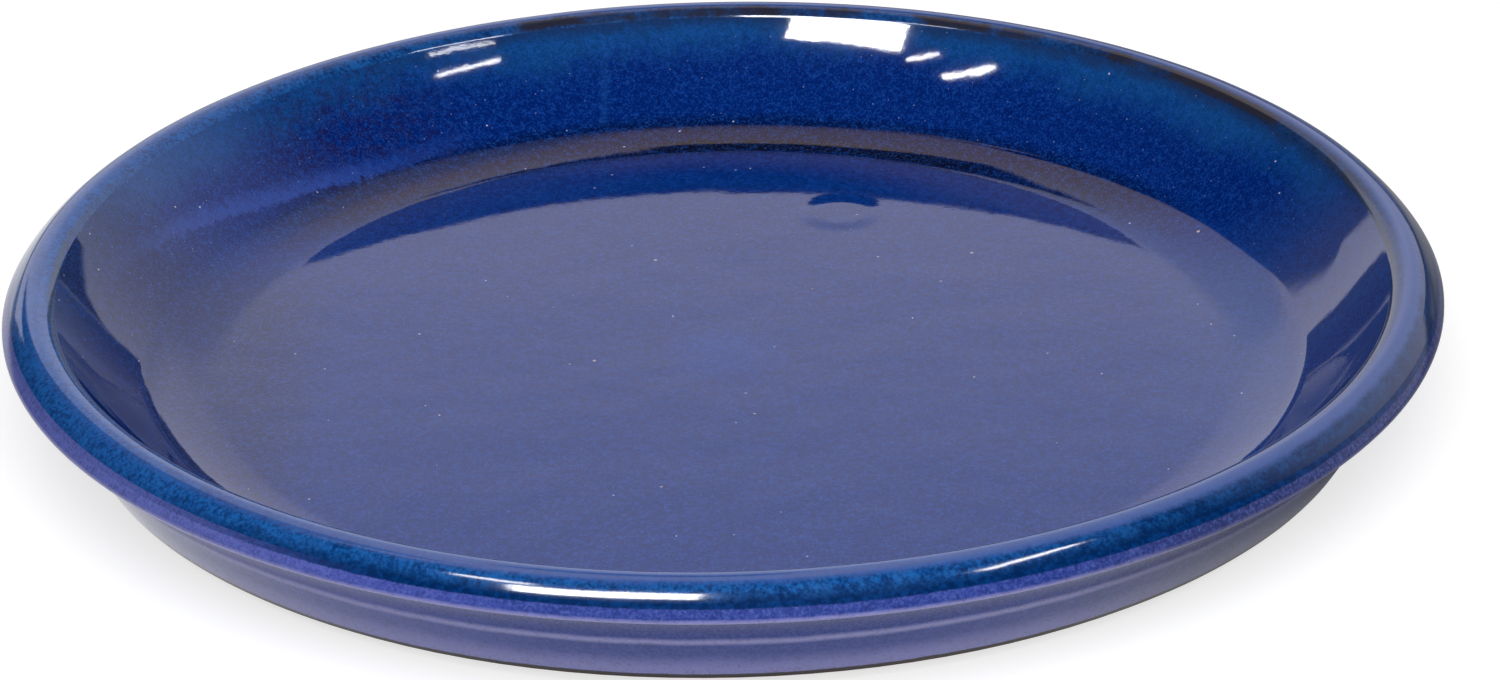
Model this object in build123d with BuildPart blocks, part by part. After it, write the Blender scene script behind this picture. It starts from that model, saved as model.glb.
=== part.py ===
"""Glazed stoneware plant saucer: one turned clay body under three coats of glaze.

Every piece is a turned form, so each is a half section in the XZ plane, revolved about Z.
The frame's origin is the centre of the foot, on the surface that the saucer stands on, with +Z up.
Lengths are in millimetres, and heights are measured from that surface.
"""

import os
from math import cos, radians, sin

from build123d import *

# Finished saucer, measured over the glaze
saucer_diameter = 300.0
saucer_height = 30.0
glaze_thickness = 0.5

# Well: a flat floor, and a cove that bends up into a leaning, nearly straight wall
floor_thickness = 3.2
cove_width = 33.0
bend_radius = 10.4

# Slope of the well's side where its first arc, its second arc and the wall end, in degrees
sweep_angle = 22.0
bend_angle = 41.0
lip_angle = 52.5

# Rim: a rolled bead, rounded over from the wall, with a sloping face that comes to a soft lower edge
rim_width = 10.5
rim_inner_radius = 4.5
rim_drop = 5.6
rim_lower_edge_radius = 0.8
rim_overhang = 3.2

# Slope of the rim where its shoulder ends, where its own coat ends and where its face ends, in degrees
shoulder_angle = 40.0
coat_edge_angle = 48.0
face_angle = 56.0

# Outer wall: a shallow channel under the rim, a ridge, then a straight taper to the base
channel_height = 8.5
channel_hollow = 0.7
ridge_inset = 9.2
base_inset = 16.0
base_bevel = 0.8
glaze_stop_height = 0.4

# Foot: a turned ring, set in from the base's edge, with sloping sides
foot_height = 2.6
foot_inset = 7.0
foot_ring_width = 10.0
foot_side_slope = 1.5
foot_edge_radius = 0.6

# Clay surfaces, one coat of glaze below the finished ones
clay_rim_radius = saucer_diameter / 2 - glaze_thickness
clay_crest_height = saucer_height - glaze_thickness
clay_lip_radius = clay_rim_radius - rim_width
clay_lip_height = clay_crest_height - rim_inner_radius * (1 - cos(radians(lip_angle)))
clay_floor_radius = clay_lip_radius - cove_width
clay_floor_height = foot_height + floor_thickness
crest_radius = clay_lip_radius + rim_inner_radius * sin(radians(lip_angle))

# Rim's sloping face, its lower edge and the wall below it
lower_edge_height = clay_crest_height - rim_drop
face_end_radius = clay_rim_radius - rim_lower_edge_radius * (1 - sin(radians(face_angle)))
face_end_height = lower_edge_height + rim_lower_edge_radius * cos(radians(face_angle))
rim_under_height = lower_edge_height - rim_lower_edge_radius
neck_radius = clay_rim_radius - rim_overhang
ridge_radius = clay_rim_radius - ridge_inset
ridge_height = rim_under_height - channel_height
base_radius = clay_rim_radius - base_inset
base_edge_height = foot_height + base_bevel

# The glaze stops part of the way down the taper, where the base was wiped clean before firing
taper_run = ridge_radius - base_radius
taper_rise = ridge_height - base_edge_height
stop_height = base_edge_height + glaze_stop_height
stop_radius = base_radius + taper_run * glaze_stop_height / taper_rise

# Underside and the foot ring on it
underside_radius = base_radius - base_bevel
foot_outer_radius = base_radius - foot_inset
foot_inner_radius = foot_outer_radius - foot_ring_width


def arc_cover(start, end):
    """Run and rise of an arc of radius one, from its slopes at the two ends in degrees."""
    start, end = radians(start), radians(end)
    return sin(end) - sin(start), cos(start) - cos(end)


def two_radii(run, rise, first, second):
    """Radii of two arcs that together cover a run and a rise, each arc given by its slopes at its ends."""
    first_run, first_rise = arc_cover(*first)
    second_run, second_rise = arc_cover(*second)
    spare = first_run * second_rise - second_run * first_rise
    return (run * second_rise - second_run * rise) / spare, (first_run * rise - run * first_rise) / spare


# Section lines of the clay surface, in radius and height, from the floor's centre round to the foot
with BuildLine() as inside_line:
    bend_run, bend_rise = arc_cover(sweep_angle, bend_angle)
    sweep_radius, wall_radius = two_radii(
        clay_lip_radius - clay_floor_radius - bend_radius * bend_run,
        clay_lip_height - clay_floor_height - bend_radius * bend_rise,
        (0, sweep_angle),
        (bend_angle, lip_angle),
    )
    floor_line = Line((0, clay_floor_height), (clay_floor_radius, clay_floor_height))
    sweep_arc = JernArc(floor_line @ 1, floor_line % 1, sweep_radius, sweep_angle)
    bend_arc = JernArc(sweep_arc @ 1, sweep_arc % 1, bend_radius, bend_angle - sweep_angle)
    wall_arc = JernArc(bend_arc @ 1, bend_arc % 1, wall_radius, lip_angle - bend_angle)

with BuildLine() as rim_line:
    shoulder_radius, face_radius = two_radii(
        face_end_radius - crest_radius,
        clay_crest_height - face_end_height,
        (0, shoulder_angle),
        (shoulder_angle, face_angle),
    )
    crest_arc = JernArc(wall_arc @ 1, wall_arc % 1, rim_inner_radius, -lip_angle)
    shoulder_arc = JernArc(crest_arc @ 1, crest_arc % 1, shoulder_radius, -shoulder_angle)
    upper_face = JernArc(shoulder_arc @ 1, shoulder_arc % 1, face_radius, shoulder_angle - coat_edge_angle)

with BuildLine() as outside_line:
    lower_face = JernArc(upper_face @ 1, upper_face % 1, face_radius, coat_edge_angle - face_angle)
    edge_arc = JernArc(lower_face @ 1, lower_face % 1, rim_lower_edge_radius, face_angle - 180)
    under_line = Line(edge_arc @ 1, (neck_radius, rim_under_height))
    channel_arc = SagittaArc(under_line @ 1, (ridge_radius, ridge_height), -channel_hollow)
    Line(channel_arc @ 1, (stop_radius, stop_height))

with BuildLine() as bare_line:
    Polyline(
        (stop_radius, stop_height),
        (base_radius, base_edge_height),
        (underside_radius, foot_height),
        (foot_outer_radius + foot_side_slope, foot_height),
        (foot_outer_radius, 0),
        (foot_inner_radius, 0),
        (foot_inner_radius - foot_side_slope, foot_height),
        (0, foot_height),
        (0, clay_floor_height),
    )

# Clay body: floor, wall, rim and foot in one piece
with BuildPart() as clay_body:
    with BuildSketch(Plane.XZ):
        with BuildLine():
            add(inside_line.line)
            add(rim_line.line)
            add(outside_line.line)
            add(bare_line.line)
        make_face()
    revolve(axis=Axis.Z)
    foot_edges = clay_body.edges().filter_by(GeomType.CIRCLE).group_by(Axis.Z)[0]
    fillet(foot_edges, foot_edge_radius)
clay_body.part.label = "clay_body"

# Inside coat: the glaze poured over the floor and the cove, up to the rim's inner edge
with BuildPart() as inside_glaze:
    with BuildSketch(Plane.XZ):
        with BuildLine():
            offset(inside_line.line, glaze_thickness, side=Side.LEFT, mode=Mode.ADD)
        make_face()
    revolve(axis=Axis.Z)
inside_glaze.part.label = "inside_glaze"

# Rim coat: the glaze over the crest, the shoulder and part of the face, where the rim was dipped
with BuildPart() as rim_glaze:
    with BuildSketch(Plane.XZ):
        with BuildLine():
            offset(rim_line.line, glaze_thickness, side=Side.LEFT, mode=Mode.ADD)
        make_face()
    revolve(axis=Axis.Z)
rim_glaze.part.label = "rim_glaze"

# Outside coat: the glaze over the rest of the face, the channel and the taper, down to the wiped line
with BuildPart() as outside_glaze:
    with BuildSketch(Plane.XZ):
        with BuildLine():
            offset(outside_line.line, glaze_thickness, side=Side.LEFT, mode=Mode.ADD)
        make_face()
    revolve(axis=Axis.Z)
outside_glaze.part.label = "outside_glaze"

os.makedirs("parts", exist_ok=True)
for piece in (clay_body.part, inside_glaze.part, rim_glaze.part, outside_glaze.part):
    export_step(piece, f"parts/{piece.label}.step")
    size = piece.bounding_box().size
    print(f"{piece.label}: {size.X:.2f} x {size.Y:.2f} x {size.Z:.2f} mm, {piece.volume:.0f} mm3")
print(f"cove arc {sweep_radius:.1f} and wall arc {wall_radius:.1f} mm in radius")
print(f"shoulder arc {shoulder_radius:.1f} and face arc {face_radius:.1f} mm in radius")
print(f"channel's middle at radius {(channel_arc @ 0.5).X:.2f}, height {(channel_arc @ 0.5).Y:.2f} mm")
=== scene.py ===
# %% [markdown]
# # A glazed plant saucer
# This lesson dresses a round stoneware saucer. Its solid model is already packed as a frame, in metres, with the
# origin under the middle of the foot and +Z up. The clay body stays as it is and gets a material. The three coats
# of glaze are modelled again as thin turned skins, because glaze is never as even as a drawn solid: it pools, runs
# and thins, and a glossy surface shows every bit of that in its reflections.

# %% Load the packed saucer
from math import atan2, cos, pi, radians, sin

import bpy
from mathutils import Matrix, Vector


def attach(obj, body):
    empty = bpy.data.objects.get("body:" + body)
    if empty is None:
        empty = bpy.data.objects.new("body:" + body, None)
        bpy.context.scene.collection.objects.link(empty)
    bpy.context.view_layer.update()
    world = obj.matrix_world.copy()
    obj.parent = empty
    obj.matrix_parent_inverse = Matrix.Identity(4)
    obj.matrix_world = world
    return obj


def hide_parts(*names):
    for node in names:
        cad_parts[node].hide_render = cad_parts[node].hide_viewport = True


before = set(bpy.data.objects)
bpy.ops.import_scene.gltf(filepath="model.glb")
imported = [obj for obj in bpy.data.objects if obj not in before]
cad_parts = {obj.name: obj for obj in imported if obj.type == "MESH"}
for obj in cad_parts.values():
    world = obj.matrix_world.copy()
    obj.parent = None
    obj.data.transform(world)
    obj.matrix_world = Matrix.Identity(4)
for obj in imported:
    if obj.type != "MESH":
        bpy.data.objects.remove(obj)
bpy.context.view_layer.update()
scene = bpy.context.scene
print("nodes:", sorted(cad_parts))

# %% [markdown]
# ## Section of the finished surface
# The saucer was turned, so one half section describes it all. These are the same sizes as in the solid model,
# written here in metres and measured over the glaze. A small margin keeps the skin's waves inside the solid's box.

# %% Sizes of the section
mm = 0.001
margin = 0.06 * mm
rim_radius = 150.0 * mm - margin
crest_height = 30.0 * mm - margin
floor_radius, floor_height = 106.0 * mm, 6.3 * mm
# Each arc of the cove: its radius, its slope at the end in degrees, and its steps
cove_arcs = [(35.8 * mm, 22, 16), (9.9 * mm, 41, 14), (119.4 * mm, 52.5, 22)]
lower_edge, edge_round = 23.9 * mm, 1.3 * mm
shoulder_slope, coat_slope, face_slope = radians(40), radians(48), radians(56)
neck_radius, channel_hollow = 146.8 * mm, 0.7 * mm
ridge_radius, ridge_height = 140.75 * mm, 14.4 * mm
stop_radius, stop_height = 134.2 * mm, 3.55 * mm
floor_steps, round_steps, face_steps = 40, 16, 10
under_steps, channel_steps, taper_steps = 4, 14, 14
turn_steps = 288
print("well depth, mm:", round((crest_height - floor_height) / mm, 2))


def two_radii(run, rise, first, second):
    """Radii of two arcs that together cover a run and a rise, each arc given by its slopes at its ends."""
    (first_run, first_rise), (second_run, second_rise) = (
        (sin(end) - sin(start), cos(start) - cos(end)) for start, end in (first, second)
    )
    spare = first_run * second_rise - second_run * first_rise
    return (run * second_rise - second_run * rise) / spare, (first_run * rise - run * first_rise) / spare


# %% [markdown]
# ## Drawing a section by hand
# A turned skin starts as one vertex. Extruding it draws a straight stretch, and spinning it about a point draws an
# arc, so the outline is drawn as it would be with a compass. A second spin, about Z, turns it into the skin.
# A ready-made torus or dish would be quicker, but would not have this rim, cove and ridge.

# %% Helpers that draw and turn a section
def first_point(name, radius, height):
    bpy.ops.object.select_all(action="DESELECT")
    bpy.ops.mesh.primitive_plane_add(size=mm, location=(0, 0, 0))
    piece = bpy.context.object
    piece.name = name
    bpy.ops.object.mode_set(mode="EDIT")
    bpy.ops.mesh.merge(type="CENTER")
    bpy.ops.transform.translate(value=(radius, 0, height))
    return piece


def draw_line(run, rise, steps):
    for _ in range(steps):
        bpy.ops.mesh.extrude_region_move(TRANSFORM_OT_translate={"value": (run / steps, 0, rise / steps)})


def draw_arc(centre, angle, steps):
    """Spins the last vertex about a centre, counter-clockwise with the radius to the right and Z up."""
    bpy.ops.mesh.spin(steps=steps, angle=angle, center=(centre[0], 0, centre[1]), axis=(0, 1, 0))


def turn(piece, inside_out):
    """Turns the drawn section about Z, closes the seam and flips the faces if they come inside out."""
    bpy.ops.mesh.select_all(action="SELECT")
    bpy.ops.mesh.spin(steps=turn_steps, angle=2 * pi, center=(0, 0, 0), axis=(0, 0, 1))
    bpy.ops.mesh.select_all(action="SELECT")
    bpy.ops.mesh.remove_doubles(threshold=0.01 * mm)
    bpy.ops.mesh.normals_make_consistent(inside=False)
    bpy.ops.object.mode_set(mode="OBJECT")
    if inside_out(piece.data):
        bpy.ops.object.mode_set(mode="EDIT")
        bpy.ops.mesh.flip_normals()
        bpy.ops.object.mode_set(mode="OBJECT")
    return piece


def last_point(piece):
    """Place of the selected end of the section, as radius and height in millimetres."""
    piece.update_from_editmode()
    ends = [v.co for v in piece.data.vertices if v.select]
    return [round(c / mm, 2) for v in ends for c in (v.x, v.z)]


print("a full turn takes", turn_steps, "steps of", 360 / turn_steps, "degrees")

# %% [markdown]
# ## Inside coat
# This coat was poured in and swirled round, so it covers the flat floor and the cove, up to the lip. The cove is
# three arcs that meet without a corner: a wide one off the floor, a tight bend, and the leaning wall up to the lip.

# %% Inside coat
inside = first_point("inside_coat", 0, floor_height)
draw_line(floor_radius, 0, floor_steps)
slope, at = 0.0, Vector((floor_radius, floor_height))
for radius, end, steps in cove_arcs:
    centre = at + radius * Vector((-sin(slope), cos(slope)))
    draw_arc(centre, radians(end) - slope, steps)
    slope = radians(end)
    at = centre + radius * Vector((sin(slope), -cos(slope)))
lip, lip_slope = at, slope
print("inside coat ends at", last_point(inside))
turn(inside, lambda mesh: min(mesh.polygons, key=lambda f: f.center.length).normal.z < 0)

# %% [markdown]
# ## Rim coat
# The rim was dipped upside down in a second glaze. That coat goes from the lip over the crest and the shoulder, and
# stops part of the way down the sloping face.

# %% Rim coat
rim = first_point("rim_coat", lip.x, lip.y)
roll_over = (crest_height - lip.y) / (1 - cos(lip_slope))
roll_centre = lip + roll_over * Vector((sin(lip_slope), -cos(lip_slope)))
draw_arc(roll_centre, -lip_slope, round_steps)
crest_at = roll_centre.x
face_end = Vector((rim_radius - edge_round * (1 - sin(face_slope)), lower_edge + edge_round * cos(face_slope)))
shoulder, face = two_radii(
    face_end.x - crest_at,
    crest_height - face_end.y,
    (0, shoulder_slope),
    (shoulder_slope, face_slope),
)
shoulder_centre = Vector((crest_at, crest_height - shoulder))
draw_arc(shoulder_centre, -shoulder_slope, round_steps)
face_centre = shoulder_centre + (shoulder - face) * Vector((sin(shoulder_slope), cos(shoulder_slope)))
draw_arc(face_centre, shoulder_slope - coat_slope, face_steps)
coat_end = face_centre + face * Vector((sin(coat_slope), cos(coat_slope)))
print("rim coat ends at", last_point(rim), "shoulder and face radii", round(shoulder / mm, 1), round(face / mm, 1))
turn(rim, lambda mesh: max(mesh.polygons, key=lambda f: f.center.z).normal.z < 0)

# %% [markdown]
# ## Outside coat
# This coat covers the rest of the rim's face, tucks in under its soft lower edge, hollows into a shallow channel,
# comes to a ridge and then tapers straight to the line where the base was wiped. The hollow is one arc through three
# known points.

# %% Outside coat
outside = first_point("outside_coat", coat_end.x, coat_end.y)
draw_arc(face_centre, coat_slope - face_slope, face_steps)
draw_arc((rim_radius - edge_round, lower_edge), face_slope - pi, round_steps)
under_height = lower_edge - edge_round
draw_line(neck_radius - (rim_radius - edge_round), 0, under_steps)
chord = Vector((ridge_radius - neck_radius, ridge_height - under_height))
bend = (chord.length ** 2 / 4 + channel_hollow ** 2) / (2 * channel_hollow)
inward = Vector((chord.y, -chord.x)).normalized()
middle = Vector((neck_radius, under_height)) + chord / 2
channel_centre = middle - inward * (bend - channel_hollow)
half_angle = atan2(chord.length / 2, bend - channel_hollow)
draw_arc(channel_centre, 2 * half_angle, channel_steps)
print("ridge at", last_point(outside), "channel radius", round(bend / mm, 1))
draw_line(stop_radius - ridge_radius, stop_height - ridge_height, taper_steps)
print("outside coat ends at", last_point(outside))
turn(outside, lambda mesh: mesh.polygons[0].normal.xy.dot(mesh.polygons[0].center.xy) < 0)

# %% [markdown]
# ## Waves in the glaze
# A hand-poured coat is a little uneven. Two Displace modifiers push the skin inwards by fractions of a millimetre,
# one with broad waves and one with short ones. All coats use the same textures in the same place, so the waves run
# on across the joints. Solidify then gives each skin its thickness on the clay side.

# %% Waves and thickness
coat_thickness = 0.2 * mm
sharp_angle = radians(40)
waves = []
for name, size, depth in (("broad_waves", 0.045, 0.12 * mm), ("short_waves", 0.012, 0.05 * mm)):
    texture = bpy.data.textures.new(name, "CLOUDS")
    texture.noise_scale = size
    texture.noise_depth = 1
    waves.append((texture, depth))


def apply_modifier(piece, kind, **values):
    bpy.ops.object.select_all(action="DESELECT")
    piece.select_set(True)
    bpy.context.view_layer.objects.active = piece
    modifier = piece.modifiers.new(kind.lower(), kind)
    for name, value in values.items():
        setattr(modifier, name, value)
    bpy.ops.object.modifier_apply(modifier=modifier.name)


for coat in (inside, rim, outside):
    for texture, depth in waves:
        apply_modifier(coat, "DISPLACE", texture=texture, texture_coords="LOCAL", strength=depth, mid_level=1.0)
    apply_modifier(coat, "SOLIDIFY", thickness=coat_thickness, offset=-1.0, use_rim=True)
    bpy.ops.object.shade_smooth_by_angle(angle=sharp_angle)
    print(coat.name, "faces:", len(coat.data.polygons))

# %% [markdown]
# ## Node helpers
# Every finish here is worked out from the place on the saucer, so a few short helpers for nodes keep the recipes
# readable. The same helpers serve the sky later on.

# %% Node helpers
class Recipe:
    """A node tree, with short calls to add and join nodes."""

    def __init__(self, tree):
        self.tree = tree

    def node(self, kind, **settings):
        made = self.tree.nodes.new(kind)
        for name, value in settings.items():
            setattr(made, name, value)
        return made

    def feed(self, socket, value):
        if isinstance(value, bpy.types.NodeSocket):
            self.tree.links.new(value, socket)
        else:
            socket.default_value = value

    def math(self, operation, *values):
        made = self.node("ShaderNodeMath", operation=operation)
        for socket, value in zip(made.inputs, values):
            self.feed(socket, value)
        return made.outputs[0]

    def both(self, *shares):
        """What several shares have in common: their product."""
        total = shares[0]
        for share in shares[1:]:
            total = self.math("MULTIPLY", total, share)
        return total

    def span(self, value, low, high, start=0.0, end=1.0):
        """Smooth step from start to end while the value goes from low to high."""
        made = self.node("ShaderNodeMapRange", interpolation_type="SMOOTHSTEP")
        for name, item in (("Value", value), ("From Min", low), ("From Max", high), ("To Min", start), ("To Max", end)):
            self.feed(made.inputs[name], item)
        return made.outputs["Result"]

    def mix(self, share, first, second):
        made = self.node("ShaderNodeMix", data_type="RGBA")
        self.feed(made.inputs["Factor"], share)
        for socket, value in ((made.inputs["A"], first), (made.inputs["B"], second)):
            self.feed(socket, value if isinstance(value, bpy.types.NodeSocket) else (*value, 1.0))
        return made.outputs["Result"]

    def split(self, vector):
        made = self.node("ShaderNodeSeparateXYZ")
        self.feed(made.inputs[0], vector)
        return list(made.outputs)

    def join(self, *parts):
        made = self.node("ShaderNodeCombineXYZ")
        for socket, value in zip(made.inputs, parts):
            self.feed(socket, value)
        return made.outputs[0]


print("node helpers:", [name for name in vars(Recipe) if not name.startswith("_")])

# %% [markdown]
# ## Glaze
# A glaze is coloured glass on clay. Its colour comes from how thick it lies and its gloss from the glass, so each
# recipe has a base colour with grains, streaks, runs and pinholes, and a smooth shader with a fine ripple. In the
# recipes below lengths are in metres, scales of noise are per metre, and colours are linear red, green and blue.

# %% Glaze helpers
class Glaze(Recipe):
    """A material on the saucer, with place, radius and height ready, and a place drawn out downhill for runs."""

    def __init__(self, name):
        self.material = bpy.data.materials.new(name)
        self.material.use_nodes = True
        super().__init__(self.material.node_tree)
        self.shader = self.tree.nodes["Principled BSDF"]
        self.place = self.node("ShaderNodeTexCoord").outputs["Object"]
        self.x, self.y, self.height = self.split(self.place)
        squares = self.math("ADD", self.both(self.x, self.x), self.both(self.y, self.y))
        self.radius = self.math("SQRT", squares)
        wall_radius, drawn_out = 0.14, 0.3
        along = self.both(self.math("ARCTAN2", self.y, self.x), wall_radius)
        down = self.math("ADD", self.both(self.height, drawn_out), self.both(self.radius, drawn_out))
        self.runs = self.join(along, down, 0.0)

    def noise(self, scale, detail=2.0, rough=0.5, place=None):
        made = self.node("ShaderNodeTexNoise")
        self.feed(made.inputs["Vector"], place or self.place)
        for name, value in (("Scale", scale), ("Detail", detail), ("Roughness", rough)):
            self.feed(made.inputs[name], value)
        return made.outputs["Fac"]

    def specks(self, per_metre, size, kept):
        """Round specks of a given radius, in a share of the cells."""
        made = self.node("ShaderNodeTexVoronoi")
        self.feed(made.inputs["Vector"], self.place)
        self.feed(made.inputs["Scale"], per_metre)
        near = self.span(made.outputs["Distance"], size * per_metre, 0.6 * size * per_metre)
        pick = self.node("ShaderNodeSeparateColor")
        self.feed(pick.inputs["Color"], made.outputs["Color"])
        return self.both(near, self.math("LESS_THAN", pick.outputs["Red"], kept))

    def near(self, x, y, height, reach):
        """One at a place on the saucer, falling to nothing at a distance from it."""
        made = self.node("ShaderNodeVectorMath", operation="DISTANCE")
        self.feed(made.inputs[0], self.place)
        made.inputs[1].default_value = (x, y, height)
        return self.span(made.outputs["Value"], reach, 0.3 * reach)

    def lump(self, x, y, height, reach, rise):
        """A smooth low mound at a place on the saucer, its rise in millimetres."""
        share = self.near(x, y, height, reach)
        curve = self.math("SUBTRACT", 3.0, self.both(share, 2.0))
        return self.both(share, share, curve, rise)

    def grained(self, colour, scale, depth, light, share):
        """The colour with fine grains, some darker by a depth and some tinted by a share of a lighter colour."""
        coarse = self.both(self.noise(0.35 * scale, 2.0), 0.4)
        grain = self.math("ADD", self.noise(scale, 2.0, 0.7), coarse)
        made = self.node("ShaderNodeVectorMath", operation="SCALE")
        self.feed(made.inputs[0], colour)
        self.feed(made.inputs["Scale"], self.span(grain, 0.5, 0.75, 1 - depth, 1.0))
        return self.mix(self.span(grain, 0.66, 0.92, 0.0, share), made.outputs["Vector"], light)

    def wavy(self, value, scale, reach, place=None):
        """The value, shifted up and down by noise, so that an edge drawn from it wanders."""
        shift = self.both(self.math("SUBTRACT", self.noise(scale, 3.0, 0.6, place), 0.5), 2 * reach)
        return self.math("ADD", value, shift)

    def ripple(self, *layers, lumps=0.0):
        """Fine unevenness, from pairs of scale and depth, and lumps in millimetres."""
        total = lumps
        for scale, depth in layers:
            total = self.math("ADD", self.both(self.noise(scale, 1.0), depth / mm), total)
        made = self.node("ShaderNodeBump")
        self.feed(made.inputs["Height"], total)
        made.inputs["Distance"].default_value = mm
        self.feed(self.shader.inputs["Normal"], made.outputs["Normal"])

    def finish(self, colour, roughness, ior=1.6, shine=0.5):
        self.feed(self.shader.inputs["Base Color"], colour)
        self.shader.inputs["Specular IOR Level"].default_value = shine
        self.shader.inputs["Roughness"].default_value = roughness
        self.shader.inputs["IOR"].default_value = ior
        return self.material


print("glaze helpers:", [name for name in vars(Glaze) if not name.startswith("_")])

# %% [markdown]
# ### Inside coat
# The floor is deep cobalt. The foot of the cove at the back is darker, which is painted shade from the wall. The rim's
# coat has run down the top of the wall in streaks and turned it greener.

# %% Inside coat: floor, wall and runs
glaze = Glaze("cobalt_inside")
# painted shade: the foot of the cove at the back is darkened where the wall shades the floor
foot = glaze.both(glaze.span(glaze.radius, 0.1075, 0.111), glaze.span(glaze.y, 0.05, 0.085))
colour = glaze.mix(foot, (0.0008, 0.023, 0.185), (0.0005, 0.009, 0.075))
wall = glaze.span(glaze.height, 0.0092, 0.0115)
colour = glaze.mix(wall, colour, (0.0006, 0.018, 0.165))
run = glaze.wavy(glaze.wavy(glaze.height, 45.0, 0.006), 420.0, 0.004, glaze.runs)
colour = glaze.mix(glaze.span(run, 0.0175, 0.027, 0.0, 0.9), colour, (0.006, 0.068, 0.25))
print("inside coat, nodes so far:", len(glaze.tree.nodes))

# %% [markdown]
# On the left the wall has a brownish bruise, and a bright tide line where the glaze crawled. The line climbs towards
# the far left. One pale streak runs down the back.

# %% Inside coat: bruise, tide line and streak
bruise = glaze.both(
    glaze.near(-0.083, 0.096, 0.018, 0.036),
    glaze.span(glaze.noise(420.0, 3.0, 0.7), 0.35, 0.65),
    0.55,
)
colour = glaze.mix(bruise, colour, (0.016, 0.01, 0.055))
lean = glaze.math("MAXIMUM", glaze.math("SUBTRACT", -0.07, glaze.x), 0.0)
climb = glaze.both(lean, lean, 2.5)
ragged = glaze.wavy(glaze.wavy(glaze.height, 60.0, 0.0008), 450.0, 0.0016, glaze.runs)
tide = glaze.math("SUBTRACT", ragged, climb)
crawl = glaze.both(
    glaze.span(tide, 0.0094, 0.0101),
    glaze.span(tide, 0.0134, 0.0104),
    glaze.span(glaze.x, -0.05, -0.085),
    glaze.span(glaze.y, 0.0, 0.03, 0.0, 0.7),
)
colour = glaze.mix(crawl, colour, (0.026, 0.07, 0.36))
off_streak = glaze.math("ABSOLUTE", glaze.math("ADD", glaze.wavy(glaze.x, 150.0, 0.0012), 0.0262))
streak = glaze.both(glaze.span(off_streak, 0.0016, 0.0), wall, glaze.span(glaze.y, 0.1, 0.11, 0.0, 0.35))
colour = glaze.mix(streak, colour, (0.008, 0.07, 0.3))
print("inside coat, nodes so far:", len(glaze.tree.nodes))

# %% [markdown]
# At the back the foot of the cove has a dark patch, a painted reflection of the lip's dark inner edge. The wall is
# lighter on the right, which is painted light with a milky tint, and darker on the left, which is painted shade, and
# the middle of the floor is a little brighter, where the thrower's finger left a dip.

# %% Inside coat: painted reflection, painted light and shade on the sides, and dip
reflection_radius = glaze.wavy(glaze.wavy(glaze.radius, 70.0, 0.0016), 800.0, 0.0012)
# painted reflection: a dark patch at the back of the cove, standing in for the mirrored dark inner edge of the lip
painted_lip_reflection = glaze.both(
    glaze.span(reflection_radius, 0.1102, 0.1112),
    glaze.span(reflection_radius, 0.1156, 0.1140),
    glaze.span(glaze.x, -0.03, -0.005),
    glaze.span(glaze.x, 0.07, 0.045),
    glaze.span(glaze.y, 0.05, 0.07),
    0.85,
)
colour = glaze.mix(painted_lip_reflection, colour, (0.004, 0.004, 0.012))
# painted light: the right side of the wall is made lighter, on the side the light falls on
painted_light_right = glaze.both(glaze.span(glaze.x, 0.085, 0.115), glaze.span(glaze.y, 0.06, 0.03), 0.8)
colour = glaze.mix(painted_light_right, colour, (0.016, 0.05, 0.22))
# a milky tint low on the right wall, partly painted light
milky_and_painted_light = glaze.both(
    glaze.span(glaze.radius, 0.117, 0.122),
    glaze.span(glaze.x, 0.09, 0.11),
    glaze.span(glaze.y, 0.04, 0.02),
    0.75,
)
colour = glaze.mix(milky_and_painted_light, colour, (0.046, 0.062, 0.2))
dip = glaze.both(glaze.near(0.0, 0.004, 0.006, 0.016), 0.8)
colour = glaze.mix(dip, colour, (0.0005, 0.034, 0.26))
# painted shade: the left side of the wall is made darker, away from the light
painted_shade_left = glaze.both(glaze.span(glaze.x, -0.08, -0.1), glaze.span(glaze.y, 0.06, 0.03, 0.0, 0.7))
colour = glaze.mix(painted_shade_left, colour, (0.003, 0.01, 0.07))
print("inside coat, nodes so far:", len(glaze.tree.nodes))

# %% [markdown]
# Fine lighter grains cover everything. The glaze thins and darkens towards the lip at the back, and bubbles that burst
# in the kiln left pale pinholes. One low mound in the floor bends the rim's mirror image.

# %% Inside coat: grains, lip, pinholes and mound
colour = glaze.grained(colour, 2000.0, 0.3, (0.012, 0.08, 0.38), 0.55)
lip_line = glaze.wavy(glaze.wavy(glaze.height, 110.0, 0.002), 600.0, 0.001)
lip_shade = glaze.both(
    glaze.span(lip_line, 0.0252, 0.0280, 0.0, 0.65),
    glaze.span(glaze.y, 0.0, 0.07),
    glaze.span(glaze.x, -0.1, -0.04),
)
colour = glaze.mix(lip_shade, colour, (0.012, 0.022, 0.065))
colour = glaze.mix(glaze.both(glaze.specks(520.0, 0.00018, 0.4), wall), colour, (0.16, 0.22, 0.48))
for per_metre, size, kept, tint in (
    (150.0, 0.0003, 0.9, (0.45, 0.47, 0.65)),
    (60.0, 0.00045, 0.4, (0.46, 0.4, 0.42)),
    (30.0, 0.0007, 0.3, (0.1, 0.1, 0.05)),
):
    colour = glaze.mix(glaze.specks(per_metre, size, kept), colour, tint)
mound = glaze.lump(0.0265, 0.0755, 0.0063, 0.012, 0.14)
glaze.ripple((240.0, 0.010 * mm), (1100.0, 0.0024 * mm), lumps=mound)
dressed = {"inside": glaze.finish(colour, 0.045)}
print("made", dressed["inside"].name, "with nodes:", len(glaze.tree.nodes))
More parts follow.
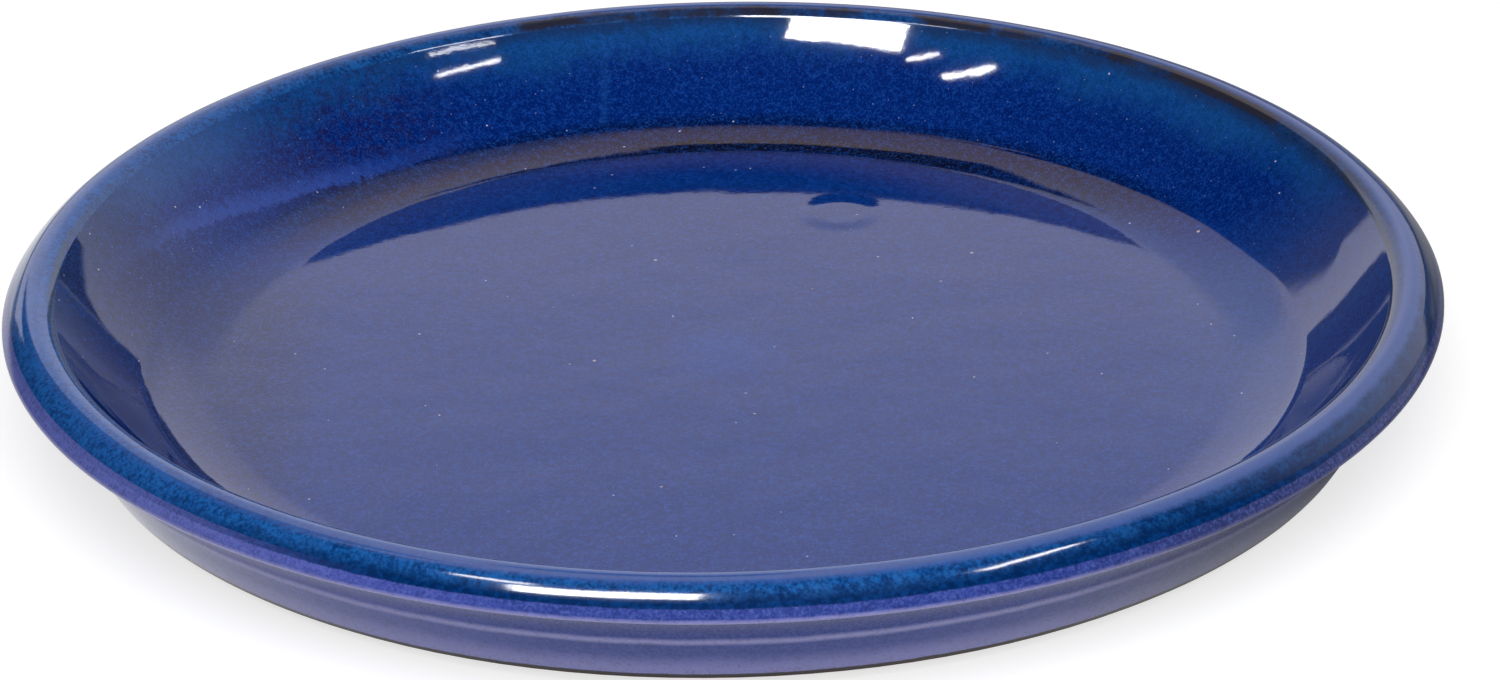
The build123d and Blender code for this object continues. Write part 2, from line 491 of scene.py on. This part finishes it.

# %% [markdown]
# ### Rim coat
# The rim is mottled in fine hairs of light and dark blue. It is brighter on the left, which is painted light, darker on
# the right, which is painted shade, and darker towards the coat's lower end. Along the crest it is paler.

# %% Rim coat: mottling and crest
glaze = Glaze("cobalt_rim")
patch = glaze.span(glaze.noise(150.0, 3.0, 0.6), 0.35, 0.65)
colour = glaze.mix(patch, (0.004, 0.05, 0.22), (0.012, 0.085, 0.31))
# painted light: the left end of the rim is made brighter
colour = glaze.mix(glaze.span(glaze.x, -0.08, -0.13, 0.0, 0.75), colour, (0.016, 0.09, 0.34))
colour = glaze.grained(colour, 1200.0, 0.48, (0.012, 0.13, 0.41), 0.7)
low = glaze.both(
    glaze.span(glaze.wavy(glaze.radius, 260.0, 0.0011), 0.1462, 0.1482),
    glaze.span(glaze.x, -0.13, -0.05, 0.3, 1.0),
    glaze.span(glaze.noise(700.0, 2.0, 0.7), 0.35, 0.6, 1.0, 0.75),
)
colour = glaze.mix(low, colour, (0.001, 0.018, 0.09))
# painted shade: the right end of the rim is made darker
colour = glaze.mix(glaze.span(glaze.x, 0.03, 0.12, 0.0, 0.62), colour, (0.001, 0.012, 0.06))
crest = glaze.both(
    glaze.span(glaze.radius, 0.1405, 0.1420),
    glaze.span(glaze.wavy(glaze.radius, 260.0, 0.0008), 0.1458, 0.1442),
    glaze.span(glaze.x, -0.13, -0.06, 0.25, 0.75),
)
colour = glaze.mix(crest, colour, (0.055, 0.105, 0.33))
print("rim coat, nodes so far:", len(glaze.tree.nodes))

# %% [markdown]
# Over the inner edge the glaze breaks: it is so thin that the brown clay shows through, in stretches at the back and as
# a fine worn line in front.

# %% Rim coat: break along the inner edge
edge = glaze.wavy(glaze.wavy(glaze.radius, 300.0, 0.0005), 900.0, 0.0005)
thin = glaze.both(glaze.span(edge, 0.1382, 0.1393), glaze.span(edge, 0.1418, 0.1404))
broken = glaze.both(
    thin,
    glaze.span(glaze.y, 0.0, 0.07),
    glaze.span(glaze.x, -0.1, -0.04),
    glaze.span(glaze.noise(45.0, 3.0, 0.6), 0.42, 0.58, 0.15, 0.95),
)
colour = glaze.mix(broken, colour, (0.022, 0.021, 0.032))
worn = glaze.both(thin, glaze.span(edge, 0.1403, 0.1396), glaze.span(glaze.y, 0.08, 0.0, 0.0, 0.6))
colour = glaze.mix(worn, colour, (0.06, 0.065, 0.06))
glaze.ripple((240.0, 0.010 * mm), (1100.0, 0.0015 * mm))
dressed["rim"] = glaze.finish(colour, 0.08)
print("made", dressed["rim"].name, "with nodes:", len(glaze.tree.nodes))

# %% [markdown]
# ### Outside coat
# Violet-blue and thinner. It pales wherever it was pulled thin over an edge: along the rim's lower edge, on the ridge,
# and towards the wiped line at the base; the lines on the rim's lower edge and the ridge are partly a painted
# highlight.
# It is bluer on the left, and darker on the right, which is painted shade.

# %% Outside coat: blues and pale lines
glaze = Glaze("cobalt_outside")
cloud = glaze.span(glaze.noise(200.0, 3.0, 0.6), 0.35, 0.65)
colour = glaze.mix(cloud, (0.028, 0.052, 0.27), (0.036, 0.062, 0.3))
colour = glaze.mix(glaze.span(glaze.height, 0.0235, 0.0222), colour, (0.033, 0.068, 0.37))
left_end, right_end = glaze.span(glaze.x, -0.06, -0.11, 0.0, 0.6), glaze.span(glaze.x, 0.06, 0.11, 0.0, 0.5)
greyer = glaze.both(glaze.math("MAXIMUM", left_end, right_end), glaze.span(glaze.height, 0.0222, 0.0235))
colour = glaze.mix(greyer, colour, (0.1, 0.12, 0.31))
level = glaze.wavy(glaze.height, 120.0, 0.0003)
# pale lines on the rim's lower edge and the ridge: thin glaze, and partly a painted highlight
for line_height, half_width, share, pale in (
    (0.0232, 0.0011, 0.9, (0.42, 0.42, 0.92)),
    (0.0145, 0.0013, 0.85, (0.46, 0.46, 0.84)),
):
    off_line = glaze.math("ABSOLUTE", glaze.math("SUBTRACT", level, line_height))
    colour = glaze.mix(glaze.both(glaze.span(off_line, half_width, 0.0), share), colour, pale)
base = glaze.both(glaze.span(glaze.wavy(glaze.height, 90.0, 0.0008), 0.0115, 0.005), 0.9)
colour = glaze.mix(base, colour, (0.36, 0.36, 0.78))
colour = glaze.mix(glaze.span(glaze.x, -0.02, -0.08, 0.0, 0.15), colour, (0.25, 0.27, 0.95))
# painted shade: the right side is made darker, away from the light
colour = glaze.mix(glaze.span(glaze.x, 0.05, 0.1, 0.0, 0.55), colour, (0.012, 0.018, 0.07))
colour = glaze.grained(colour, 1600.0, 0.3, (0.12, 0.16, 0.44), 0.4)
print("outside coat, nodes so far:", len(glaze.tree.nodes))

# %% [markdown]
# The rim's coat laps a millimetre over the top of this one, in navy. At the base the wiped line is nearly black: bare
# clay, and painted shade under the base edge.

# %% Outside coat: overlap, and wiped line with painted shade
overlap = glaze.both(
    glaze.span(glaze.wavy(glaze.height, 500.0, 0.0002), 0.0256, 0.0259),
    glaze.span(glaze.x, -0.13, -0.06, 0.15, 1.0),
)
mottle = glaze.span(glaze.noise(700.0, 2.0, 0.7), 0.4, 0.65)
navy = glaze.mix(mottle, (0.001, 0.018, 0.09), (0.002, 0.035, 0.16))
colour = glaze.mix(overlap, colour, navy)
# painted shade: the wiped line is darker than the bare clay, for the shade under the base edge
wiped_line_and_shade = glaze.span(glaze.wavy(glaze.height, 130.0, 0.0003), 0.0047, 0.0043)
colour = glaze.mix(wiped_line_and_shade, colour, (0.016, 0.008, 0.01))
colour = glaze.mix(glaze.specks(95.0, 0.0003, 0.3), colour, (0.5, 0.42, 0.5))
glaze.ripple((240.0, 0.010 * mm), (1100.0, 0.0015 * mm))
dressed["outside"] = glaze.finish(colour, 0.12, shine=0.16)
print("made", dressed["outside"].name, "with nodes:", len(glaze.tree.nodes))

# %% [markdown]
# ### Bare clay
# Where the glaze was wiped off, and under the foot, the stoneware is dark reddish brown, matt and a little sandy.

# %% Bare clay, and all four pieces dressed
sandy = Glaze("bare_clay")
grain = sandy.span(sandy.noise(500.0, 4.0, 0.6), 0.3, 0.7)
colour = sandy.mix(grain, (0.05, 0.02, 0.018), (0.13, 0.058, 0.042))
colour = sandy.mix(sandy.specks(260.0, 0.0004, 0.3), colour, (0.04, 0.025, 0.02))
sandy.ripple((500.0, 0.08 * mm))
dressed["clay"] = sandy.finish(colour, 0.85, shine=0.2)
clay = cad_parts["clay_body"]
for piece, finish in ((inside, "inside"), (rim, "rim"), (outside, "outside"), (clay, "clay")):
    piece.data.materials.clear()
    piece.data.materials.append(dressed[finish])
print("dressed:", {piece.name: piece.data.materials[0].name for piece in (inside, rim, outside, clay)})

# %% [markdown]
# ## Frame
# Each skin rides on the saucer's only body and stands in for the solid coat of the same name.

# %% Tie the coats to the frame
for piece, node, slot in (
    (inside, "inside_glaze", "cobalt_glaze"),
    (rim, "rim_glaze", "rim_glaze"),
    (outside, "outside_glaze", "cobalt_glaze"),
):
    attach(piece, "root")
    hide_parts(node)
    print(piece.name, "replaces", node)

# %% [markdown]
# ## Table
# A white table carries the saucer and its soft shadow. A part of its white is its own light, which only the camera and
# mirrored rays see, so the background comes out white and the saucer isn't lit by it. Mirrored rays see that light only
# near the saucer, farther to the left than to the right, because the real table was darker there, as the glaze shows.

# %% Table
table_size, table_grey, own_light = 12.0, 0.42, 0.7
bpy.ops.object.select_all(action="DESELECT")
bpy.ops.mesh.primitive_plane_add(size=table_size, location=(0, 0, 0))
table = bpy.context.object
table.name = "table"
white = Glaze("white_table")
ray = white.node("ShaderNodeLightPath").outputs
leftward = white.both(white.math("MINIMUM", white.x, 0.0), 0.8)
rightward = white.both(white.math("MAXIMUM", white.math("SUBTRACT", white.x, 0.03), 0.0), 1.6)
away = white.math("ADD", white.radius, white.math("ADD", leftward, rightward))
mirrored_ray = white.math("MAXIMUM", ray["Is Glossy Ray"], ray["Is Transmission Ray"])
mirrored_ray = white.both(mirrored_ray, white.span(away, 0.3, 0.2))
seen = white.math("MAXIMUM", ray["Is Camera Ray"], mirrored_ray)
white.shader.inputs["Emission Color"].default_value = (1, 1, 1, 1)
white.feed(white.shader.inputs["Emission Strength"], white.both(seen, own_light))
table.data.materials.append(white.finish((table_grey, table_grey, table_grey, 1), 1.0, shine=0.0))
print("table, m:", round(table.dimensions.x, 1))

# %% [markdown]
# ## Sky
# Glossy glaze is mostly made of what it mirrors. Behind the saucer hangs a white sheet that fades upwards through warm
# grey into a dark room, and to the right is a pale wall. All of that is written as a colour for each direction: a
# bearing, with 0 straight behind, and a rise, both in degrees.

# %% Sky
world = bpy.data.worlds.new("studio")
scene.world = world
world.use_nodes = True
sky = Recipe(world.node_tree)
way_x, way_y, way_z = sky.split(sky.node("ShaderNodeTexCoord").outputs["Generated"])
bearing = sky.math("DEGREES", sky.math("ARCTAN2", way_x, way_y))
height = sky.math("DEGREES", sky.math("ARCSINE", way_z))


def scale_of(value, low, high, stops):
    """Colour by value, from pairs of value and colour."""
    made = sky.node("ShaderNodeValToRGB")
    sky.feed(made.inputs[0], sky.math("DIVIDE", sky.math("SUBTRACT", value, low), high - low))
    points = made.color_ramp.elements
    while len(points) < len(stops):
        points.new(1.0)
    for point, (at, tint) in zip(points, stops):
        point.position = (at - low) / (high - low)
        point.color = (*tint, 1)
    return made.outputs["Color"]


dark = (0.01, 0.01, 0.012)
behind = scale_of(height, 0, 90, [
    (0, (0.92, 0.9, 1.05)),
    (24, (0.92, 0.9, 1.05)),
    (26, (0.78, 0.78, 0.94)),
    (27.5, (0.67, 0.68, 0.86)),
    (34, (0.7, 0.68, 0.78)),
    (42, (0.78, 0.66, 0.56)),
    (50, (0.78, 0.58, 0.36)),
    (63, (0.76, 0.55, 0.33)),
    (73, dark),
])
farther = sky.both(sky.math("MAXIMUM", sky.math("SUBTRACT", bearing, 30.0), 0.0), 0.5)
pale_wall = scale_of(sky.math("ADD", height, farther), 0, 90, [
    (0, (0.74, 0.73, 0.85)),
    (34, (0.7, 0.7, 0.82)),
    (48, (0.5, 0.5, 0.58)),
    (58, (0.36, 0.36, 0.4)),
    (68, (0.22, 0.22, 0.25)),
    (78, dark),
])
colour = sky.mix(sky.span(bearing, 7.0, 18.0), behind, pale_wall)
print("sky, nodes so far:", len(sky.tree.nodes))

# %% [markdown]
# Below the sheet is a dark gap of uneven height, given here as its top for each bearing, in hundreds of degrees. A small
# dark panel with a slanting side stands in the sheet, and to the left, to the far right and in front the room is dark.

# %% Dark parts of the sky
gap_top = scale_of(bearing, -40, 45, [(at, (top, top, top)) for at, top in (
    (-40, 0.055),
    (-34, 0.055),
    (-31, 0.0),
    (-9, 0.0),
    (-1, 0.03),
    (4.5, 0.097),
    (9, 0.142),
    (14, 0.13),
    (23, 0.055),
    (28, 0.054),
    (36, 0.088),
    (45, 0.03),
)])
below = sky.math("SUBTRACT", sky.both(gap_top, 100.0), height)
deep = sky.both(sky.span(below, 4.0, 8.0), sky.span(bearing, -28.0, -22.0))
gap = sky.mix(deep, (0.08, 0.08, 0.1), (0.28, 0.27, 0.28))
colour = sky.mix(sky.span(below, -0.5, 0.5), colour, gap)
panel_side = sky.both(sky.math("SUBTRACT", height, 33.0), -0.5)
from_side = sky.math("SUBTRACT", bearing, sky.math("SUBTRACT", panel_side, 2.0))
panel = sky.both(
    sky.span(from_side, -0.5, 0.5),
    sky.span(bearing, 2.2, 1.2),
    sky.span(height, 34.0, 36.5),
    sky.span(height, 48.5, 47.0),
)
colour = sky.mix(panel, colour, dark)
left_edge = sky.span(height, 13.0, 15.0, -34.5, -50.0)
colour = sky.mix(sky.span(sky.math("SUBTRACT", left_edge, bearing), 0.0, 1.5), colour, dark)
colour = sky.mix(sky.span(bearing, 66.0, 90.0), colour, dark)
sky.feed(sky.tree.nodes["Background"].inputs["Color"], colour)
print("sky nodes:", len(sky.tree.nodes))

# %% [markdown]
# ## Curtain
# A dark curtain hangs behind the saucer on the left. It is near enough that its edge shows at one place in the left rim
# and at another in the right wall, so it is a real sheet, seen only by mirrored rays.

# %% Curtain
bpy.ops.object.select_all(action="DESELECT")
bpy.ops.mesh.primitive_plane_add(size=1.0, location=(-1.4, 1.41, 1.9), rotation=(pi / 2, 0, 0))
curtain = bpy.context.object
curtain.name = "curtain"
bpy.ops.transform.resize(value=(1.6, 1.0, 3.1))
bpy.ops.object.transform_apply(location=True, rotation=True, scale=True)
cloth = Glaze("black_cloth")
cloth.finish((*dark, 1), 1.0, shine=0.0)
cloth.feed(cloth.shader.inputs["Alpha"], cloth.span(cloth.wavy(cloth.x, 3.0, 0.16), -0.72, -0.88))
curtain.data.materials.append(cloth.material)
curtain.visible_camera = curtain.visible_diffuse = curtain.visible_shadow = False
print("curtain, m:", [round(c, 2) for c in curtain.dimensions])

# %% [markdown]
# ## Lamps
# One large soft lamp overhead gives the plain, even light. The other lamps stand for the windows and ceiling lights
# that the glaze mirrors as sharp white patches. They show only in mirrored rays, so they add nothing to the light.

# %% Soft lamp overhead
def area_lamp(name, width, breadth, power):
    data = bpy.data.lights.new(name, "AREA")
    data.shape = "RECTANGLE"
    data.size, data.size_y, data.energy = width, breadth, power
    lamp = bpy.data.objects.new(name, data)
    scene.collection.objects.link(lamp)
    return lamp


overhead = area_lamp("overhead", 1.6, 1.6, 42.0)
overhead.location = (0.0, -1.25, 1.35)
overhead.rotation_euler = (-overhead.location).to_track_quat("-Z", "Y").to_euler()
overhead.visible_glossy = False
print("overhead lamp, W:", overhead.data.energy)

# %% [markdown]
# Each of the other lamps is placed from what one spot of the glaze mirrors: the two directions in which the ends of
# its bright strip lie, as seen from that spot. Light linking shows it in that coat only.

# %% Mirrored windows and ceiling lights
def toward(bearing, rise):
    bearing, rise = radians(bearing), radians(rise)
    return Vector((sin(bearing) * cos(rise), cos(bearing) * cos(rise), sin(rise)))


def mirrored(name, coat, place, start, end, breadth, brightness):
    """A bright strip that a coat mirrors, seen from a place on it between two directions, its breadth in degrees."""
    distance = 2.5
    place = Vector(place)
    first, last = place + distance * toward(*start), place + distance * toward(*end)
    middle = (first + last) / 2
    along = (last - first).normalized()
    back = (middle - place).normalized()
    length, width = (last - first).length, distance * radians(breadth)
    lamp = area_lamp(name, length, width, brightness * pi * length * width)
    across = back.cross(along).normalized()
    turned = Matrix((along, across, along.cross(across))).transposed().to_4x4()
    lamp.rotation_euler = turned.to_euler()
    lamp.location = middle
    lamp.visible_diffuse = False
    lamp.light_linking.receiver_collection = shown_in[coat.name]
    return lamp


shown_in = {}
for coat in (inside, rim):
    shown_in[coat.name] = bpy.data.collections.new("lamps_of_" + coat.name)
    shown_in[coat.name].objects.link(coat)

back_wall = (0.02, 0.136, 0.024)
front_rim = (-0.03, -0.145, 0.029)
windows = [
    mirrored("window_left", inside, back_wall, (-163, 53.6), (-137.5, 52.0), 6.6, 32),
    mirrored("window_slat_1", inside, back_wall, (-132.6, 56.4), (-127.8, 53.3), 0.6, 26),
    mirrored("window_slat_2", inside, back_wall, (-122.5, 56.9), (-115.3, 51.1), 1.1, 26),
    mirrored("window_right_top", inside, (-0.06, 0.125, 0.027), (117, 46.0), (130, 49.2), 0.35, 18),
    mirrored("window_right_sill", inside, (-0.06, 0.122, 0.024), (114.5, 49.8), (128.2, 52.3), 0.5, 26),
    mirrored("ceiling_left", rim, front_rim, (-132, 57.8), (-174, 63.5), 6.5, 32),
    mirrored("ceiling_left_end", rim, (-0.05, -0.138, 0.0285), (-113.2, 60.3), (-130.3, 64.3), 2.0, 18),
    mirrored("ceiling_right", rim, (0.06, -0.134, 0.029), (123.5, 58.1), (98, 56.2), 2.2, 20),
]
print("mirrored lamps:", [lamp.name for lamp in windows])

# %% [markdown]
# ## Camera
# A long lens from 1.2 m, looking down at about 24 degrees. The picture is 1500 by 680, and the focal length is
# known in its pixels.

# %% Camera
camera_data = bpy.data.cameras.new("camera")
picture_width, focal_length = 1500, 5753.7
camera_data.sensor_width = 36.0
camera_data.lens = focal_length / picture_width * camera_data.sensor_width
camera = bpy.data.objects.new("camera", camera_data)
scene.collection.objects.link(camera)
saucer_radius, saucer_height = 0.15, 0.030
rise = radians(24.3742)
reach = 8 * saucer_radius
camera.location = (0, -reach * cos(rise), saucer_height + reach * sin(rise))
aim = Vector((0.03517 * saucer_radius, -0.27104 * saucer_radius, saucer_height))
look = (aim - camera.location).to_track_quat("-Z", "Y").to_matrix().to_4x4()
roll = radians(-1.1136)
camera.rotation_euler = (look @ Matrix.Rotation(roll, 4, "Z")).to_euler()
scene.camera = camera
scene.view_settings.view_transform = "Standard"
print("lens, mm:", round(camera_data.lens, 2))

# %% [markdown]
# ## Finishes
# The number of finishes made is printed.

# %% Finishes
print("dressed pieces:", len(dressed))
